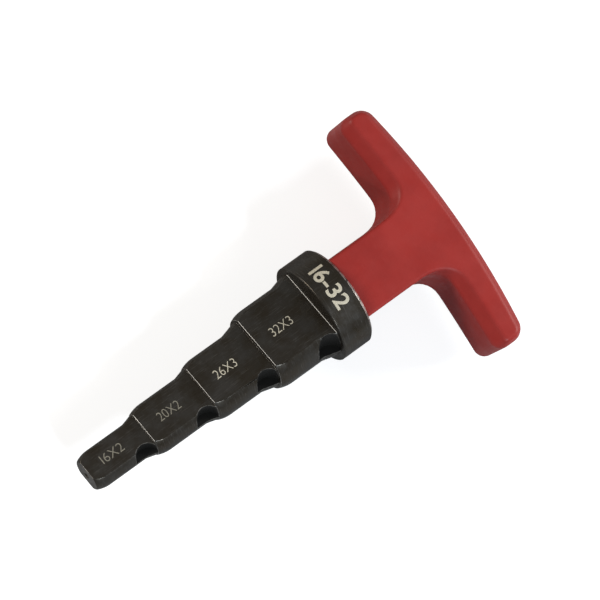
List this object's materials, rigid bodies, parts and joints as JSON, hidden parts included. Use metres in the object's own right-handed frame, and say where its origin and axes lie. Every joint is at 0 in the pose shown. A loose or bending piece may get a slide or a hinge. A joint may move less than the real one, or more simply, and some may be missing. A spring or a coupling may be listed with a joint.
{
  "type": "pipe calibrator",
  "caption": "Hand tool with a stepped steel mandrel that rounds and bevels the cut ends of multilayer pipes, turned by a T-shaped plastic handle.",
  "frame": {"origin": "on the tool's axis at the front face of the collar, where the end of the largest pipe stops", "axes": "+X along the tool's axis from the tip to the handle, Y along the cross bar, +Z out of the handle's flat front face"},
  "size_m": [0.135, 0.083, 0.0326],
  "materials": {
    "blackened_steel": "burnished black, satin, with bright worn edges",
    "plain_steel": "zinc plated",
    "red_plastic": "finely grained moulded surface"
  },
  "bodies": {
    "root": {"stepped_mandrel": "blackened_steel", "threaded_stud": "plain_steel", "t_handle": "red_plastic"}
  },
  "joints": []
}
